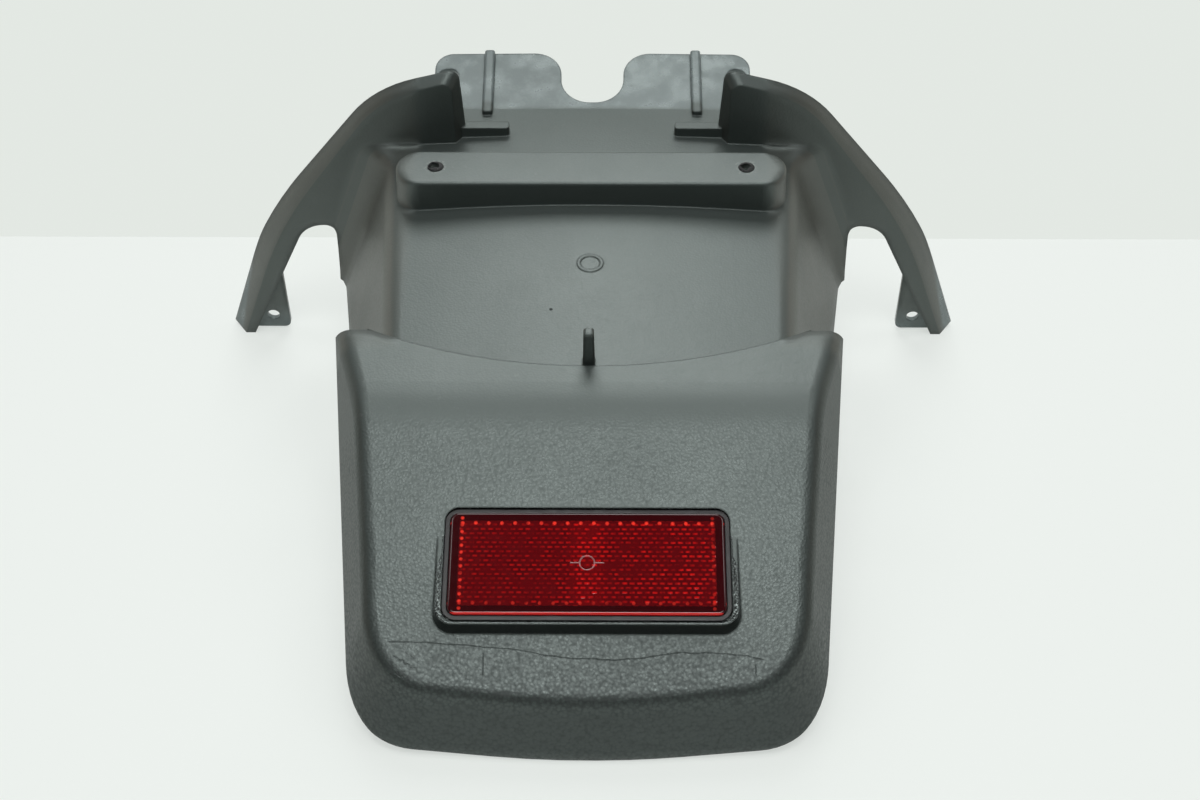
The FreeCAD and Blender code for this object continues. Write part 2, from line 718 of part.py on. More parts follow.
lens_seat = "(lens_thick - lens_proud)"
housing_block = plain_pad("housing_block", f"-{housing_thick}", housing_thick, housing_round,
                          half_x=housing_x, half_y=housing_y)
lens_pocket = plain_pad("lens_pocket", f"-{lens_seat}", f"{lens_seat} * 2", "lens_corner + fit_gap",
                        half_x="lens_length / 2 + fit_gap", half_y="lens_width / 2 + fit_gap")
head_recess = plain_pad("head_recess", f"-({housing_thick} + stud_head_thick)", "stud_head_thick * 2",
                        dia="stud_head_dia + 2 * fit_gap")
housing_voids = join("Part::MultiFuse", "housing_voids", Shapes=[lens_pocket, head_recess])
housing = join("Part::Cut", "reflector_housing", Base=housing_block, Tool=housing_voids)

# Lens with softened front edges and a fine sighting ring cut in its face
lens_block = plain_pad("lens_block", f"-{lens_seat}", "lens_thick", "lens_corner",
                       half_x="lens_length / 2", half_y="lens_width / 2")
round_edges(lens_block, "lens_edge", "lens_edge_radius", top_rim)
ring = add_body("sight_ring", *SEAT)
ring_plan = add_sketch(ring, "ring_plan", "XY_Plane", "lens_proud - ring_depth")
circle(ring_plan, "0", "0", "ring_dia")
circle(ring_plan, "0", "0", "ring_dia - 2 * ring_width")
pad(ring, ring_plan, "ring_depth * 2")
lens = join("Part::Cut", "reflector_lens", Base=lens_block, Tool=ring)

# Stud, washer and nut that hold the housing down on its seat
stud_head = plain_pad("stud_head", f"-{housing_thick}", "stud_head_thick", dia="stud_head_dia")
stud_shank = plain_pad("stud_shank", f"-({housing_thick} + stud_reach)", "stud_reach + stud_head_thick / 2",
                       dia="stud_dia")
stud = join("Part::MultiFuse", "reflector_stud", Shapes=[stud_head, stud_shank], Refine=True)
washer_foot = f"({housing_thick} + wall + washer_thick)"
washer_disc = plain_pad("washer_disc", f"-{washer_foot}", "washer_thick", dia="washer_dia")
washer_bore = plain_pad("washer_bore", f"-{washer_foot} - wall", "wall * 3", dia="stud_dia + 2 * fit_gap")
washer = join("Part::Cut", "reflector_washer", Base=washer_disc, Tool=washer_bore)
nut_foot = f"({washer_foot} + nut_thick)"
nut_block = add_body("nut_block", *SEAT)
nut_plan = add_sketch(nut_block, "nut_plan", "XY_Plane", f"-{nut_foot}")
outline(nut_plan, [
    (f"nut_across / 2 / cos(30) * cos({60 * n})", f"nut_across / 2 / cos(30) * sin({60 * n})")
    for n in range(6)
])
pad(nut_block, nut_plan, "nut_thick")
nut_bore = plain_pad("nut_bore", f"-{nut_foot} - wall", "nut_thick + wall * 2", dia="stud_dia + fit_gap")
nut = join("Part::Cut", "reflector_nut", Base=nut_block, Tool=nut_bore)

# Rest: the flap's front edge and the wing tips stand on the ground, middle of the plan at zero
rest_tilt = "atan((wing_drop - flap_drop) / (wing_y + flap_reach))"
rest_front = f"(flap_reach * cos({rest_tilt}) - flap_drop * sin({rest_tilt}))"
end_z = "(flange_length * sin(flange_rise) - wall / cos(flange_rise))"
rest_back = f"({end_y} * cos({rest_tilt}) - {end_z} * sin({rest_tilt}))"
nodes = [mudguard, housing, lens, stud, washer, nut]
for node in nodes:
    node.Label = node.Name
    node.Placement = FreeCAD.Placement(V(), FreeCAD.Rotation(V(1, 0, 0), 1))
    bind(node, "Placement.Rotation.Angle", rest_tilt)
    bind(node, "Placement.Base.y", f"({rest_front} - {rest_back}) / 2")
    bind(node, "Placement.Base.z", f"flap_reach * sin({rest_tilt}) + flap_drop * cos({rest_tilt})")
doc.recompute()

for thing in doc.Objects:
    if "Invalid" in thing.State or "Error" in thing.State:
        raise RuntimeError(f"{thing.Name} did not build")
for node in nodes:
    if node.Shape.isNull() or not node.Shape.isValid() or len(node.Shape.Solids) != 1:
        raise RuntimeError(f"{node.Name} is not one valid solid")

os.makedirs("parts", exist_ok=True)
for node in nodes:
    node.Shape.exportStep(f"parts/{node.Label}.step")
    print(node.Label, round(node.Shape.Volume), "mm3")
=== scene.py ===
import bpy
import json
import math
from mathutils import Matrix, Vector


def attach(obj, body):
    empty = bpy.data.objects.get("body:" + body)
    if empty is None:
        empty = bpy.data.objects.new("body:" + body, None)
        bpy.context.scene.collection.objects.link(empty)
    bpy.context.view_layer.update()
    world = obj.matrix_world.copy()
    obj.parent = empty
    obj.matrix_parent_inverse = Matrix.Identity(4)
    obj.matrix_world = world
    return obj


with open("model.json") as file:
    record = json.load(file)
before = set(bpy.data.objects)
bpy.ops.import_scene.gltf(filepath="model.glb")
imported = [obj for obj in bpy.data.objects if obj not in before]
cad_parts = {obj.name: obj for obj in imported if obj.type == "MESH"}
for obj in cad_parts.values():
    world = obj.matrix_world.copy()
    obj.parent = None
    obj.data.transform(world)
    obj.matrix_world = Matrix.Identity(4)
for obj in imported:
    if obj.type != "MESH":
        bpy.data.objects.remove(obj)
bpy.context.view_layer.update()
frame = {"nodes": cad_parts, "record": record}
scene = bpy.context.scene
scene.view_settings.view_transform = "Standard"
print("frame loaded,", len(frame["nodes"]), "solids")

# the lens and the plate screw holes, where the frame has them
lensLean = math.radians(25.02)
lensUp = Vector((0, math.cos(lensLean), math.sin(lensLean)))
lensOut = Vector((0, -math.sin(lensLean), math.cos(lensLean)))
lensPoints = [point.co for point in frame["nodes"]["reflector_lens"].data.vertices]
lensFoot = min(point.dot(lensUp) for point in lensPoints)
lensTop = max(point.dot(lensUp) for point in lensPoints)
lensFace = max(point.dot(lensOut) for point in lensPoints)
lensMiddle = (lensFoot + lensTop) / 2
lensHalf = (max(point.x for point in lensPoints), (lensTop - lensFoot) / 2)
screws = [mount for mount in frame["record"]["mounts"] if mount["name"] == "plate_screws"][0]
screwAxis = Vector(screws["axis"])
barTop = 0.00126  # from the mount out to the bar's top face
holeMiddle = Vector(screws["pos_m"]) + screwAxis * barTop
holeReach = screws["dims"]["pcd_mm"] / 2 * 0.001  # from the middle out to either hole


class Wire:  # a socket that takes part in sums
    def __init__(self, tree, socket=None):
        self.tree = tree
        self.socket = socket

    def add(self, kind, settings=None, sockets=None, out=0):
        made = self.tree.nodes.new(kind)
        for name, value in (settings or {}).items():
            if name == "points":  # a float curve's points
                curve = made.mapping.curves[0]
                curve.points[0].location = value[0]
                curve.points[-1].location = value[-1]
                for place in value[1:-1]:
                    curve.points.new(*place)
                made.mapping.update()
            else:
                setattr(made, name, value)
        for key, value in (sockets or {}).items():
            if isinstance(value, Wire):
                self.tree.links.new(value.socket, made.inputs[key])
            else:
                made.inputs[key].default_value = value
        if isinstance(out, tuple):
            return [Wire(self.tree, made.outputs[one]) for one in out]
        return Wire(self.tree, made.outputs[out])

    def maths(self, operation, *values):
        return self.add("ShaderNodeMath", {"operation": operation}, dict(enumerate(values)))

    def __add__(self, other):
        return self.maths("ADD", self, other)

    def __sub__(self, other):
        return self.maths("SUBTRACT", self, other)

    def __rsub__(self, other):
        return self.maths("SUBTRACT", other, self)

    def __mul__(self, other):
        return self.maths("MULTIPLY", self, other)

    def __truediv__(self, other):
        return self.maths("DIVIDE", self, other)

    def __rtruediv__(self, other):
        return self.maths("DIVIDE", other, self)

    def __pow__(self, other):
        return self.maths("POWER", self, other)

    def __abs__(self):
        return self.maths("ABSOLUTE", self)

    __radd__ = __add__
    __rmul__ = __mul__

    def least(self, other):
        return self.maths("MINIMUM", self, other)

    def most(self, other):
        return self.maths("MAXIMUM", self, other)

    def root(self):
        return self.maths("SQRT", self)

    def part(self):  # what is left after the whole number
        return self.maths("FRACT", self)

    def rise(self, low, high):  # 0 up to low, 1 from high on, soft between
        return self.add("ShaderNodeMapRange", {"interpolation_type": "SMOOTHSTEP"},
                        {0: self, 1: low, 2: high})

    def fall(self, low, high):  # 1 up to low, 0 from high on, soft between
        return 1 - self.rise(low, high)

    def paint(self, under, over):  # over shows where this is 1
        return self.add("ShaderNodeMix", {"data_type": "RGBA"}, {0: self, 6: under, 7: over}, 2)

    def split(self):
        return self.add("ShaderNodeSeparateXYZ", None, {0: self}, (0, 1, 2))

    def noise(self, scale, detail=2.0, rough=0.5):  # this is the place
        return self.add("ShaderNodeTexNoise", None,
                        {"Vector": self, "Scale": scale, "Detail": detail, "Roughness": rough})

    def bump(self, strength, depth, normal=None):  # this is the height
        sockets = {"Strength": strength, "Distance": depth, "Height": self}
        if normal:
            sockets["Normal"] = normal
        return self.add("ShaderNodeBump", None, sockets)

    def into(self, socket):
        self.tree.links.new(self.socket, socket)


def newFinish(name):
    made = bpy.data.materials.new(name)
    made.use_nodes = True
    shader = made.node_tree.nodes["Principled BSDF"]
    place = Wire(made.node_tree).add("ShaderNodeTexCoord", None, None, 3)
    return made, shader, place


def rgb(red, green, blue):  # screen levels to linear
    def one(level):
        level = level / 255
        return level / 12.92 if level <= 0.04045 else ((level + 0.055) / 1.055) ** 2.4
    return (one(red), one(green), one(blue), 1.0)


def spot(across, along, inner, outer):  # 1 within inner of the middle, 0 from outer on
    return (across ** 2.0 + along ** 2.0).fall(inner ** 2, outer ** 2)


def lensAxes(place):  # across the lens, up its slope, out of its face
    x, y, z = place.split()
    up = y * lensUp.y + z * lensUp.z - lensMiddle
    out = y * lensOut.y + z * lensOut.z - lensFace
    return x, up, out


# the moulding's black plastic: pebble grain, smoother flange, side-facing faces painted darker and browner
# as painted shade, wings painted lighter as painted light
plastic = {
    "deck": (0.029, 0.036, 0.033, 1),
    "flange": (0.155, 0.184, 0.187, 1),
    "flangeStain": (0.085, 0.104, 0.108, 1),
    # side: painted shade on side-facing faces, with a brownish tint
    "side": (0.022, 0.021, 0.016, 1),
    # wing: painted light on the wings, most on their side-facing faces
    "wing": (0.076, 0.071, 0.058, 1),
    "shade": (0.026, 0.030, 0.029, 1),
    "dust": (0.20, 0.215, 0.21, 1),
    "pale": (0.30, 0.31, 0.30, 1),
    "black": (0.006, 0.006, 0.006, 1),
    "sheen": (0.87, 1.0, 0.96, 1),
    # how much of each colour shows where it is laid on
    "shares": {"side": 0.9, "dust": 0.10, "scratch": 0.6, "bruise": 0.22, "skirtShade": 0.7, "pitShade": 0.9,
               "ring": 0.8},
    "roughness": 0.45, "flangeRoughness": 0.30, "roughest": 0.95, "specular": 1.0,
    # what each of these adds to the roughness, or for the seat takes from it
    "rougher": {"cloud": 0.10, "fleck": 0.08, "stain": 0.10, "tornOpeningShade": 0.4, "speck": 0.5, "ring": 0.3,
                "scratch": 0.16, "seat": 0.7},
    # noises: scale, detail, roughness
    "cloud": (22.0, 4.0, 0.6), "fleck": (420.0, 3.0, 0.6), "stain": (75.0, 5.0, 0.65),
    # where each part of the moulding begins or ends, first and last of a soft edge
    "flangeFrom": (0.1185, 0.1215), "flapTo": (-0.062, -0.054), "wingFrom": (-0.030, -0.024),
    "wingOut": (0.070, 0.076), "coarseTo": (0.024, 0.050), "skirtTo": (0.018, 0.027),
    # which way a face looks, as parts of its normal
    "upFrom": (0.35, 0.8), "sideFrom": (0.30, 0.62), "levelFrom": (0.6, 0.8),
    "crispEdge": 0.0011, "wornEdge": 0.0065,
}
grain = {
    "fine": 1000.0, "coarse": 740.0, "strayScale": 700.0, "stray": 0.0003, "middle": 0.42,
    "fineHeight": 0.12, "flapHeight": 0.22, "coarseHeight": 0.34, "fleckHeight": 0.04, "flangeLoses": 0.8,
    "fineRough": 0.07, "flapRough": 0.12, "coarseRough": 0.2, "pitShade": (0.25, 0.70),
    "strength": 0.8, "depth": 0.00030,
}


def pebbles(place):  # how far the nearest pebble's middle is, fine and coarse
    stray = place.add("ShaderNodeTexNoise", None,
                      {"Vector": place, "Scale": grain["strayScale"], "Detail": 1.0}, 1)
    bent = place.add("ShaderNodeVectorMath", {"operation": "SCALE"}, {0: stray, "Scale": grain["stray"]})
    moved = place.add("ShaderNodeVectorMath", {"operation": "ADD"}, {0: place, 1: bent})
    return [place.add("ShaderNodeTexVoronoi", {"feature": "F1"}, {"Vector": moved, "Scale": grain[size]})
            for size in ("fine", "coarse")]


# wear: a long scratch, two short marks and a scuff on the flap, a speck on the panel; also a patchy dark
# line along the gate ring's edge
wear = {
    "scratch": [(-0.069, -0.1265), (-0.034, -0.1280), (0.009, -0.1315), (0.037, -0.1295), (0.062, -0.1315)],
    "scratchBand": (-0.135, -0.125), "scratchWide": (0.00005, 0.00030), "scratchDepth": 0.2,
    "wobbleScale": 160.0, "wobble": 0.0012,
    "marks": [(-0.0355, -0.1300, -0.1355), (0.0580, -0.1330, -0.1355)],  # x, top, foot
    "markWide": (0.00008, 0.00035), "markEnd": 0.0006,
    "scuff": (-0.0636, -0.1340), "scuffReach": 0.0065, "scuffShare": 0.8,
    "scuffLines": {"Scale": 95.0, "Distortion": 6.0, "Detail": 2.0, "Detail Scale": 3.0},
    "speck": (-0.0147, -0.0043), "speckReach": (0.0005, 0.0008),
    "gateY": 0.0214, "gateRadius": 0.0038, "gateWide": (0.0001, 0.0005),
}


def flapScratches(place, facing):
    x, y = place.split()[:2]
    nz = facing.split()[2]
    path = wear["scratch"]
    left, right = path[0][0], path[-1][0]
    low, high = wear["scratchBand"]  # what the curve's 0 and 1 stand for
    along = (x - left) / (right - left)
    points = [((px - left) / (right - left), (py - low) / (high - low)) for px, py in path]
    run = place.add("ShaderNodeFloatCurve", {"points": points}, {1: along}) * (high - low) + low
    wobble = (place.noise(wear["wobbleScale"]) - 0.5) * wear["wobble"]
    scratch = abs(y - run + wobble).fall(*wear["scratchWide"])
    scratch = scratch * along.rise(-0.001, 0.01) * along.fall(0.985, 1.0) * nz.rise(0.5, 0.7)
    end = wear["markEnd"]
    for px, top, foot in wear["marks"]:
        line = abs(x - px + wobble * 0.5).fall(*wear["markWide"])
        scratch = scratch.most(line * y.fall(top, top + end) * y.rise(foot - end, foot))
    sx, sy = wear["scuff"]
    lines = place.add("ShaderNodeTexWave", {"wave_type": "BANDS", "bands_direction": "DIAGONAL"},
                      {"Vector": place, **wear["scuffLines"]}, 1)
    scuff = spot(x - sx, y - sy, 0.0, wear["scuffReach"]) * lines.rise(0.80, 0.98)
    return scratch.most(scuff * wear["scuffShare"])


def panelMarks(place, facing, cloud):  # black speck, a patchy dark line along the gate ring's edge
    x, y = place.split()[:2]
    nz = facing.split()[2]
    dx, dy = wear["speck"]
    speck = spot(x - dx, y - dy, *wear["speckReach"])
    reach = (x * x + (y - wear["gateY"]) ** 2.0).root()
    ringLine = abs(reach - wear["gateRadius"]).fall(*wear["gateWide"]) * cloud.rise(0.35, 0.55)
    return speck, ringLine * nz.rise(*plastic["levelFrom"])


# torn screw holes as the finish shows them: a dark star, painted shade inside the torn openings, with a pale
# bruised rim
stars = {
    "left": {"side": -1, "arms": 5.0, "turn": 0.4},
    "right": {"side": 1, "arms": 4.0, "turn": 1.1},
    "radius": 0.0023, "armLength": 0.0008, "soft": (-0.0002, 0.0003), "rimOut": 0.0009, "rimWide": 0.0016,
    "rimScale": 900.0, "barFrom": (0.108, 0.112),
}


def holeStars(place, facing, cloud):
    x, y, z = place.split()
    nz = facing.split()[2]
    crumbs = place.noise(stars["rimScale"], 3.0).rise(0.45, 0.62)
    tornOpeningShade, bruise = 0.0, 0.0
    for hole in (stars["left"], stars["right"]):
        ax, ay = x - hole["side"] * holeReach, y - holeMiddle.y
        reach = (ax * ax + ay * ay).root()
        angle = place.maths("ARCTAN2", ay, ax)
        ray = place.maths("COSINE", angle * hole["arms"] + hole["turn"] + cloud * 3.0)
        edge = ray.rise(0.2, 1.0) * stars["armLength"] + stars["radius"]
        tornOpeningShade = (reach - edge).fall(*stars["soft"]).most(tornOpeningShade)
        bruise = ((reach - edge - stars["rimOut"]).fall(0.0, stars["rimWide"]) * crumbs).most(bruise)
    onTop = z.rise(*stars["barFrom"]) * nz.rise(*plastic["levelFrom"])
    return tornOpeningShade * onTop, bruise * onTop


# the reflector's seat is smooth, and its walls and rim are painted black as painted shade at the seat's foot
seatZone = {
    "half": 0.0538, "narrows": 0.0032, "narrowsAt": (-0.004, 0.004), "sideSoft": 0.0005,
    "foot": (-0.0262, -0.0256), "top": (0.0226, 0.0230),
    "rimTurn": (0.993, 0.996), "wallTurn": (0.88, 0.93),
}


def seatMask(place, facing):
    x, up = lensAxes(place)[:2]
    ny, nz = facing.split()[1:]
    half = seatZone["half"] - up.rise(*seatZone["narrowsAt"]) * seatZone["narrows"]
    inside = (abs(x) - half).fall(0.0, seatZone["sideSoft"])
    inside = inside * up.rise(*seatZone["foot"]) * up.fall(*seatZone["top"])
    turned = ny * lensOut.y + nz * lensOut.z  # 1 on the rim, least on the walls
    return inside * turned.rise(*seatZone["rimTurn"]).most(turned.fall(*seatZone["wallTurn"]))


def mouldingFinish():
    made, shader, place = newFinish("mouldedPlastic")
    facing = place.add("ShaderNodeNewGeometry", None, None, 1)
    x, y, z = place.split()
    nx, nz = facing.split()[::2]
    cloud = place.noise(*plastic["cloud"])
    fleck = place.noise(*plastic["fleck"])
    stain = place.noise(*plastic["stain"]).rise(0.40, 0.66)

    # parts of the moulding
    upward = nz.rise(*plastic["upFrom"])
    side = abs(nx).rise(*plastic["sideFrom"])
    flange = y.rise(*plastic["flangeFrom"])
    flap = y.fall(*plastic["flapTo"])
    coarse = flap * z.fall(*plastic["coarseTo"])
    skirtShade = flap * z.fall(*plastic["skirtTo"])
    wing = abs(x).rise(*plastic["wingOut"]) * y.rise(*plastic["wingFrom"]) * (1 - flange)
    seat = seatMask(place, facing)

    fine, large = pebbles(place)
    height = (1 - fine) * (flap * grain["flapHeight"] + grain["fineHeight"]) * (1 - coarse)
    height = height + (1 - large) * coarse * grain["coarseHeight"]
    height = height * (1 - flange * grain["flangeLoses"]) + fleck * grain["fleckHeight"]
    pitShade = large.rise(*grain["pitShade"]) * coarse  # painted shade in the hollows between the large pebbles

    scratch = flapScratches(place, facing)
    speck, gateRingDark = panelMarks(place, facing, cloud)
    tornOpeningShade, bruise = holeStars(place, facing, cloud)

    shares = plastic["shares"]
    tone = flange.paint(plastic["deck"], stain.paint(plastic["flangeStain"], plastic["flange"]))
    # painted shade: side-facing faces darker and browner
    tone = (side * (1 - flange) * shares["side"]).paint(tone, plastic["side"])
    # painted light: wings lighter, most on their side-facing faces
    tone = (wing * (side * 0.7 + 0.3)).paint(tone, plastic["wing"])
    tone = ((cloud - 0.5) * 0.5 + 0.25).paint(tone, plastic["shade"])
    tone = (fleck.rise(0.60, 0.80) * shares["dust"] * upward).paint(tone, plastic["dust"])
    tone = (scratch * shares["scratch"]).paint(tone, plastic["black"])
    tone = (bruise * shares["bruise"]).paint(tone, plastic["pale"])
    # painted shade: the low front skirt and the hollows between the large pebbles go towards black
    tone = (skirtShade * shares["skirtShade"]).most(pitShade * shares["pitShade"]).paint(tone, plastic["black"])
    # painted shade: the stars in the torn openings and the reflector seat's walls and rim go black; the
    # speck is a real black mark; the gate ring gets its patchy dark line
    tone = tornOpeningShade.most(speck).most(seat).most(gateRingDark * shares["ring"]).paint(tone, plastic["black"])
    tone.into(shader.inputs["Base Color"])
    shader.inputs["Specular IOR Level"].default_value = plastic["specular"]
    shader.inputs["Specular Tint"].default_value = plastic["sheen"]

    rougher = plastic["rougher"]
    rough = plastic["roughness"] + (cloud - 0.5) * rougher["cloud"] + (fleck - 0.5) * rougher["fleck"]
    rough = rough - flange * (plastic["roughness"] - plastic["flangeRoughness"])
    rough = rough + flange * (0.5 - stain) * rougher["stain"]
    fineRough = (fine - grain["middle"]) * (flap * grain["flapRough"] + grain["fineRough"]) * (1 - flange)
    rough = rough + fineRough + (large - grain["middle"]) * coarse * grain["coarseRough"]
    rough = rough + tornOpeningShade * rougher["tornOpeningShade"] + speck * rougher["speck"]
    rough = rough + gateRingDark * rougher["ring"] + scratch * rougher["scratch"]
    rough = rough * (1 - seat * rougher["seat"])
    rough.least(plastic["roughest"]).into(shader.inputs["Roughness"])

    crisp = place.add("ShaderNodeBevel", {"samples": 6}, {"Radius": plastic["crispEdge"]})
    soft = place.add("ShaderNodeBevel", {"samples": 8}, {"Radius": plastic["wornEdge"]})
    worn = place.add("ShaderNodeMix", {"data_type": "VECTOR"}, {0: wing, 4: crisp, 5: soft}, 1)
    bumps = (height - scratch * wear["scratchDepth"]).bump(grain["strength"], grain["depth"], worn)
    bumps.into(shader.inputs["Normal"])
    return made


# the reflector's lens: prisms seen through clear red
lens = {
    "dark": rgb(50, 1, 5), "field": rgb(92, 3, 9), "bright": rgb(216, 20, 18), "dot": rgb(255, 58, 44),
    "engraved": rgb(176, 120, 122), "lit": rgb(214, 22, 20),
    "rim": (0.0034, 0.0032), "rimSoft": (-0.0003, 0.0003),
    "dash": (0.0026, 0.0017), "speckleScale": 330.0, "band": (0.002, 0.0085), "fade": (-0.045, 0.045),
    "dotStep": (0.0046, 0.0026), "dotInset": 0.0008,
    # dots: inner and outer radius, strength
    "topDots": (0.00025, 0.00085, 1.0), "leftDots": (0.0002, 0.0008, 0.9),
    "footDots": (0.00025, 0.0008, 0.4), "rightDots": (0.0002, 0.0008, 0.3),
    "ring": 0.0026, "ringWide": (0.00012, 0.00030), "tickWide": (0.0001, 0.00028),
    "tickFrom": (0.0026, 0.0028), "tickTo": (0.0058, 0.006),
    "edgeGlowUp": (-0.0186, -0.0181), "edgeGlowOut": (-0.0016, -0.0008),
    "roughness": 0.05, "smear": 0.06, "smearScale": 300.0, "strength": 0.12, "depth": 0.0002,
}


def lensDashes(u, v, speckle, band):  # rows of short prisms, every other row moved by half a step
    wide, tall = lens["dash"]
    row = v / tall
    shift = (row * 0.5).part().rise(0.499, 0.501) * 0.5
    across = abs((u / wide + shift).part() - 0.5)
    down = abs(row.part() - 0.5)
    dash = across.fall(0.16, 0.46) * down.fall(0.10, 0.34) * speckle.rise(0.30, 0.72)
    fade = u.rise(*lens["fade"]) * 0.45 + 0.42
    return dash * (fade + band * 0.4).least(1.0)


def lensDots(u, v, fieldU, fieldV, speckle):  # a row of bright dots along each edge
    stepU, stepV = lens["dotStep"]
    lineU, lineV = fieldU - lens["dotInset"], fieldV - lens["dotInset"]
    alongRow = abs((u / stepU).part() - 0.5) * stepU
    alongSide = abs((v / stepV).part() - 0.5) * stepV
    dots = 0.0
    for edge, along, off in (("topDots", alongRow, v - lineV), ("leftDots", alongSide, u + lineU),
                             ("footDots", alongRow, v + lineV), ("rightDots", alongSide, u - lineU)):
        inner, outer, strength = lens[edge]
        dots = (spot(along, off, inner, outer) * strength).most(dots)
    return dots * speckle.rise(0.15, 0.55)


def lensFinish():
    made, shader, place = newFinish("redReflector")
    u, v, w = lensAxes(place)
    fieldU, fieldV = [half - rim for half, rim in zip(lensHalf, lens["rim"])]
    field = (fieldU - abs(u)).rise(*lens["rimSoft"]) * (fieldV - abs(v)).rise(*lens["rimSoft"])
    speckle = place.noise(lens["speckleScale"])
    band = abs(u).fall(*lens["band"])
    dash = lensDashes(u, v, speckle, band) * field
    dots = lensDots(u, v, fieldU, fieldV, speckle)
    ring = abs((u * u + v * v).root() - lens["ring"]).fall(*lens["ringWide"])
    tick = abs(v).fall(*lens["tickWide"]) * abs(u).rise(*lens["tickFrom"]) * abs(u).fall(*lens["tickTo"])
    engraved = ring.most(tick)
    # painted glow: the lens's low edge face painted bright red for light coming through it
    edgeGlow = v.fall(*lens["edgeGlowUp"]) * w.rise(*lens["edgeGlowOut"])

    tone = field.paint(lens["dark"], (speckle.rise(0.3, 0.8) * 0.5).paint(lens["field"], lens["dark"]))
    tone = (band * field * 0.05).paint(tone, lens["bright"])
    tone = dash.paint(tone, lens["bright"])
    tone = (dots * 0.9).paint(tone, lens["dot"])
    tone = (engraved * 0.55).paint(tone, lens["engraved"])
    tone = edgeGlow.paint(tone, lens["lit"])
    tone.into(shader.inputs["Base Color"])
    smear = place.noise(lens["smearScale"], 3.0) * lens["smear"]
    (lens["roughness"] + smear).into(shader.inputs["Roughness"])
    (dash - engraved).bump(lens["strength"], lens["depth"]).into(shader.inputs["Normal"])
    return made


# the reflector's back shell: smooth black plastic
shell = {
    "tone": (0.010, 0.010, 0.010, 1), "worn": (0.035, 0.036, 0.036, 1), "wornShare": 0.7,
    "rub": (160.0, 4.0, 0.6), "roughness": 0.24, "rubRoughness": 0.16,
    "edge": 0.0006, "grainScale": 1400.0, "strength": 0.15, "depth": 0.0001,
}


def shellFinish():
    made, shader, place = newFinish("smoothBlackPlastic")
    rub = place.noise(*shell["rub"])
    tone = (rub.rise(0.52, 0.75) * shell["wornShare"]).paint(shell["tone"], shell["worn"])
    tone.into(shader.inputs["Base Color"])
    (shell["roughness"] + rub * shell["rubRoughness"]).into(shader.inputs["Roughness"])
    worn = place.add("ShaderNodeBevel", {"samples": 6}, {"Radius": shell["edge"]})
    bumps = place.noise(shell["grainScale"]).bump(shell["strength"], shell["depth"], worn)
    bumps.into(shader.inputs["Normal"])
    return made


# stud, washer and nut: zinc plated steel
zinc = {
    "tone": (0.52, 0.52, 0.50, 1), "dull": (0.34, 0.34, 0.32, 1), "patch": (420.0, 4.0, 0.6),
    "roughness": 0.30, "patchRoughness": 0.25, "grainScale": 2600.0, "strength": 0.2, "depth": 0.00008,
}


def zincFinish():
    made, shader, place = newFinish("zincPlate")
    patch = place.noise(*zinc["patch"])
    patch.rise(0.35, 0.7).paint(zinc["tone"], zinc["dull"]).into(shader.inputs["Base Color"])
    (zinc["roughness"] + patch * zinc["patchRoughness"]).into(shader.inputs["Roughness"])
    shader.inputs["Metallic"].default_value = 1.0
    bumps = place.noise(zinc["grainScale"]).bump(zinc["strength"], zinc["depth"])
    bumps.into(shader.inputs["Normal"])
    return made


finishes = {"mudguard": mouldingFinish(), "reflector_lens": lensFinish(), "reflector_housing": shellFinish()}
zincPlate = zincFinish()
for name, node in frame["nodes"].items():
    for holder in node.material_slots:
        holder.material = finishes.get(name, zincPlate)
print("finishes set")

# torn plastic round the two plate screw holes
torn = {
    "outer": 0.0034, "inner": 0.62, "points": 32, "lift": 0.00035, "thick": 0.0004,
    "shredWide": 0.93, "bendIn": 0.001, "bendUp": 0.0005,
    "tone": (0.010, 0.011, 0.011, 1), "pale": (0.26, 0.27, 0.26, 1), "paleShare": 0.45,
    "crumbs": (1300.0, 3.0, 0.6), "roughness": 0.55, "crumbRoughness": 0.3, "strength": 0.6, "depth": 0.0002,
    # tears: angle in degrees, pull
    "tornLipLeft": {"side": -1, "tears": [(20, 0.9), (95, 0.5), (170, 0.8), (260, 0.6)]},
    "tornLipRight": {"side": 1, "tears": [(50, 0.6), (140, 0.8), (215, 0.5), (310, 0.7)]},
}


def tornFinish():
    made, shader, place = newFinish("tornPlastic")
    crumbs = place.noise(*torn["crumbs"])
    tone = (crumbs.rise(0.62, 0.72) * torn["paleShare"]).paint(torn["tone"], torn["pale"])
    tone.into(shader.inputs["Base Color"])
    (torn["roughness"] + crumbs * torn["crumbRoughness"]).into(shader.inputs["Roughness"])
    crumbs.bump(torn["strength"], torn["depth"]).into(shader.inputs["Normal"])
    return made


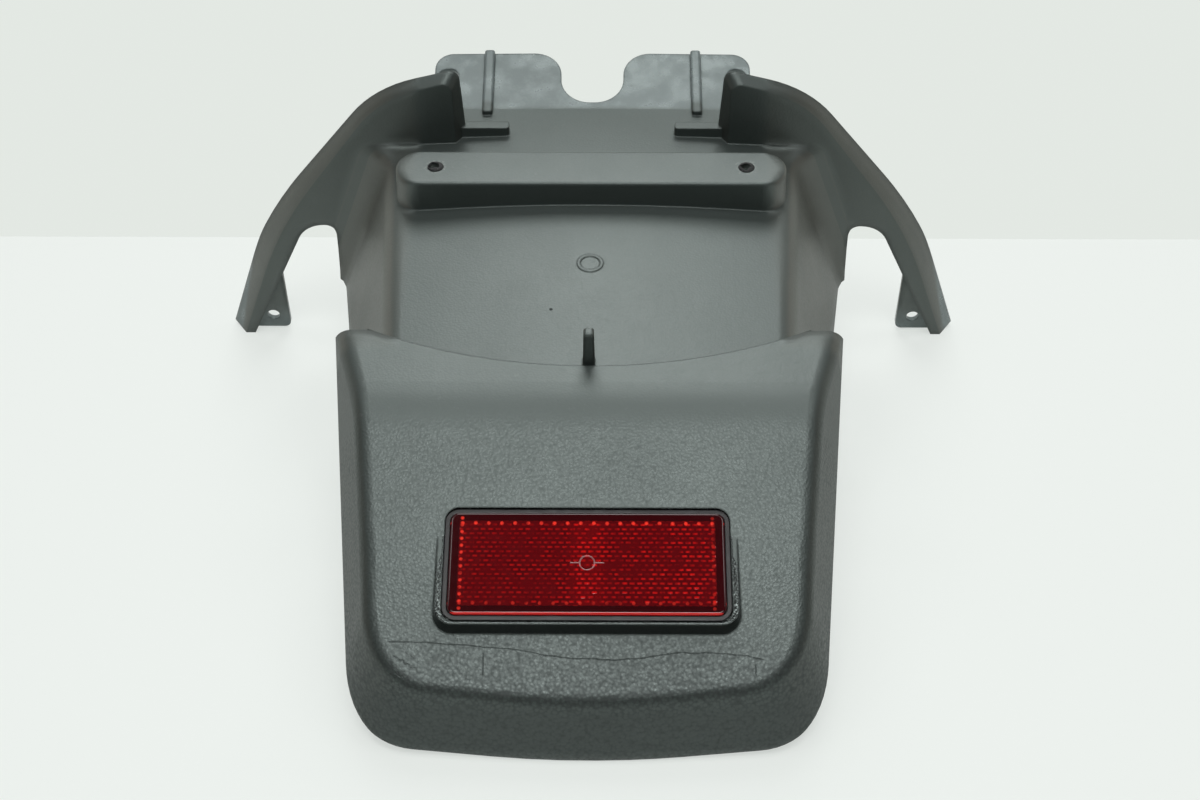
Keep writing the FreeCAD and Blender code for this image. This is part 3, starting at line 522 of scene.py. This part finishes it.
def tornLip(name, finish):
    bpy.ops.object.select_all(action="DESELECT")
    bpy.ops.mesh.primitive_circle_add(vertices=torn["points"], radius=torn["outer"], fill_type="NOTHING",
                                      location=(0, 0, 0))
    lip = bpy.context.object
    lip.name = name
    bpy.ops.object.mode_set(mode="EDIT")
    bpy.ops.mesh.select_all(action="SELECT")
    bpy.ops.mesh.extrude_region_move(TRANSFORM_OT_translate={"value": (0, 0, torn["lift"])})
    bpy.ops.transform.resize(value=(torn["inner"], torn["inner"], 1), center_override=(0, 0, 0))
    bpy.ops.object.mode_set(mode="OBJECT")
    for angle, pull in torn[name]["tears"]:  # each shred bends in and up
        way = Vector((math.cos(math.radians(angle)), math.sin(math.radians(angle)), 0))
        for point in lip.data.vertices:
            flat = Vector((point.co.x, point.co.y, 0))
            inShred = flat.normalized().dot(way) > torn["shredWide"]
            point.select = point.co.z > torn["lift"] / 2 and inShred
        bend = way * (-pull * torn["bendIn"])
        bpy.ops.object.mode_set(mode="EDIT")
        bpy.ops.transform.translate(value=(bend.x, bend.y, pull * torn["bendUp"]))
        bpy.ops.mesh.select_all(action="DESELECT")
        bpy.ops.object.mode_set(mode="OBJECT")
    wallSkin = lip.modifiers.new("thickness", "SOLIDIFY")
    wallSkin.thickness = torn["thick"]
    wallSkin.offset = 0
    bpy.ops.object.modifier_apply(modifier=wallSkin.name)
    smooth = lip.modifiers.new("soften", "SUBSURF")
    smooth.levels = smooth.render_levels = 1
    bpy.ops.object.modifier_apply(modifier=smooth.name)
    lip.rotation_euler = (math.atan2(-screwAxis.y, screwAxis.z), 0, 0)
    lip.location = (torn[name]["side"] * holeReach, holeMiddle.y, holeMiddle.z)
    bpy.ops.object.transform_apply(location=True, rotation=True, scale=True)
    bpy.ops.object.shade_smooth()
    lip.data.materials.append(finish)
    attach(lip, "root")


tornPlastic = tornFinish()
tornLip("tornLipLeft", tornPlastic)
tornLip("tornLipRight", tornPlastic)
print("torn lips made")

# floor and low wall behind, with its foot where the photo has it
backdrop = {
    "floor": (0.83, 0.868, 0.838, 1), "wall": (0.77, 0.81, 0.77, 1), "mottle": (0.62, 0.65, 0.63, 1),
    "mottleNoise": (6.0, 3.0), "mottleShare": 0.06, "roughness": 0.8, "specular": 0.1,
    "floorGlow": 0.7, "wallGlow": 1.0,
    "wide": 16.0, "wallAt": 0.204, "wallWide": 3.0, "wallTall": 0.26,
}


def paleFinish(name, tone, glowShare):  # partly an even glow to the camera and in reflections
    made, shader, place = newFinish(name)
    mottle = place.noise(*backdrop["mottleNoise"])
    (mottle * backdrop["mottleShare"]).paint(tone, backdrop["mottle"]).into(shader.inputs["Base Color"])
    shader.inputs["Roughness"].default_value = backdrop["roughness"]
    shader.inputs["Specular IOR Level"].default_value = backdrop["specular"]
    eyeRay, glossRay, clearRay = place.add("ShaderNodeLightPath", None, None, (0, 3, 6))
    glow = place.add("ShaderNodeEmission", None, {0: tone, 1: 1.0})
    share = eyeRay.most(glossRay).most(clearRay) * glowShare
    painted = Wire(place.tree, shader.outputs[0])
    return made, place.add("ShaderNodeMixShader", None, {0: share, 1: painted, 2: glow})


def floorFinish():
    made, seen = paleFinish("floorPaint", backdrop["floor"], backdrop["floorGlow"])
    seen.into(made.node_tree.nodes["Material Output"].inputs["Surface"])
    return made


def wallFinish():  # seen from behind, the wall lets the view through
    made, seen = paleFinish("wallPaint", backdrop["wall"], backdrop["wallGlow"])
    back = seen.add("ShaderNodeNewGeometry", None, None, 6)
    clear = seen.add("ShaderNodeBsdfTransparent")
    mixed = seen.add("ShaderNodeMixShader", None, {0: back, 1: seen, 2: clear})
    mixed.into(made.node_tree.nodes["Material Output"].inputs["Surface"])
    return made


bpy.ops.object.select_all(action="DESELECT")
bpy.ops.mesh.primitive_plane_add(size=backdrop["wide"], location=(0, 0, 0))
floor = bpy.context.object
floor.name = "paleFloor"
floor.data.materials.append(floorFinish())
bpy.ops.object.select_all(action="DESELECT")
bpy.ops.mesh.primitive_plane_add(size=1, location=(0, backdrop["wallAt"], backdrop["wallTall"] / 2),
                                 rotation=(math.radians(90), 0, 0))
wall = bpy.context.object
wall.name = "paleWall"
wall.scale = (backdrop["wallWide"], backdrop["wallTall"], 1)
bpy.ops.object.transform_apply(location=True, rotation=True, scale=True)
wall.visible_shadow = False  # it shades nothing
wall.visible_diffuse = False
wall.data.materials.append(wallFinish())
print("backdrop made")

# soft lamps behind and before the top, with a dark gap that the lens looks into, and weak ones at the sides
lamps = {
    "behind": {"at": (0, 0.98, 1.36), "aim": (0, 0.04, 0.10), "size": (0.85, 1.00), "power": 13.8},
    "before": {"at": (0, -0.72, 1.54), "aim": (0, -0.09, 0.06), "size": (0.85, 0.66), "power": 14.1},
    "overLeft": {"at": (-0.62, 0.05, 1.62), "aim": (0, -0.05, 0.08), "size": (0.40, 0.80), "power": 3.6},
    "overRight": {"at": (0.62, 0.05, 1.62), "aim": (0, -0.05, 0.08), "size": (0.40, 0.80), "power": 3.6},
    "left": {"at": (-1.5, 0.1, 1.0), "aim": (0, 0, 0.06), "size": (1.4, 1.4), "power": 0.9},
    "right": {"at": (1.5, 0.1, 1.0), "aim": (0, 0, 0.06), "size": (1.4, 1.4), "power": 0.9},
}
room = {"tone": (0.96, 1.0, 0.985, 1), "strength": 0.05}
for name, lamp in lamps.items():
    light = bpy.data.lights.new(name + "Softbox", "AREA")
    light.shape = "RECTANGLE"
    light.size, light.size_y = lamp["size"]
    light.energy = lamp["power"]
    holder = bpy.data.objects.new(name + "Softbox", light)
    scene.collection.objects.link(holder)
    holder.location = lamp["at"]
    holder.rotation_euler = (Vector(lamp["aim"]) - Vector(lamp["at"])).to_track_quat("-Z", "Y").to_euler()
world = bpy.data.worlds.new("room")
scene.world = world
world.use_nodes = True
sky = world.node_tree.nodes["Background"]
sky.inputs["Color"].default_value = room["tone"]
sky.inputs["Strength"].default_value = room["strength"]

# the photo's view
view = {
    "at": (0.0067, -0.5586, 0.4597), "down": 36.403, "turn": 0.281,
    "lens": 52.2, "sensor": 36.0, "near": 0.01,
}
eye = bpy.data.cameras.new("photoView")
eye.lens = view["lens"]
eye.sensor_width = view["sensor"]
eye.clip_start = view["near"]
camera = bpy.data.objects.new("photoView", eye)
scene.collection.objects.link(camera)
camera.location = view["at"]
camera.rotation_euler = (math.radians(90 - view["down"]), 0, math.radians(view["turn"]))
scene.camera = camera
print("lamps and camera set")
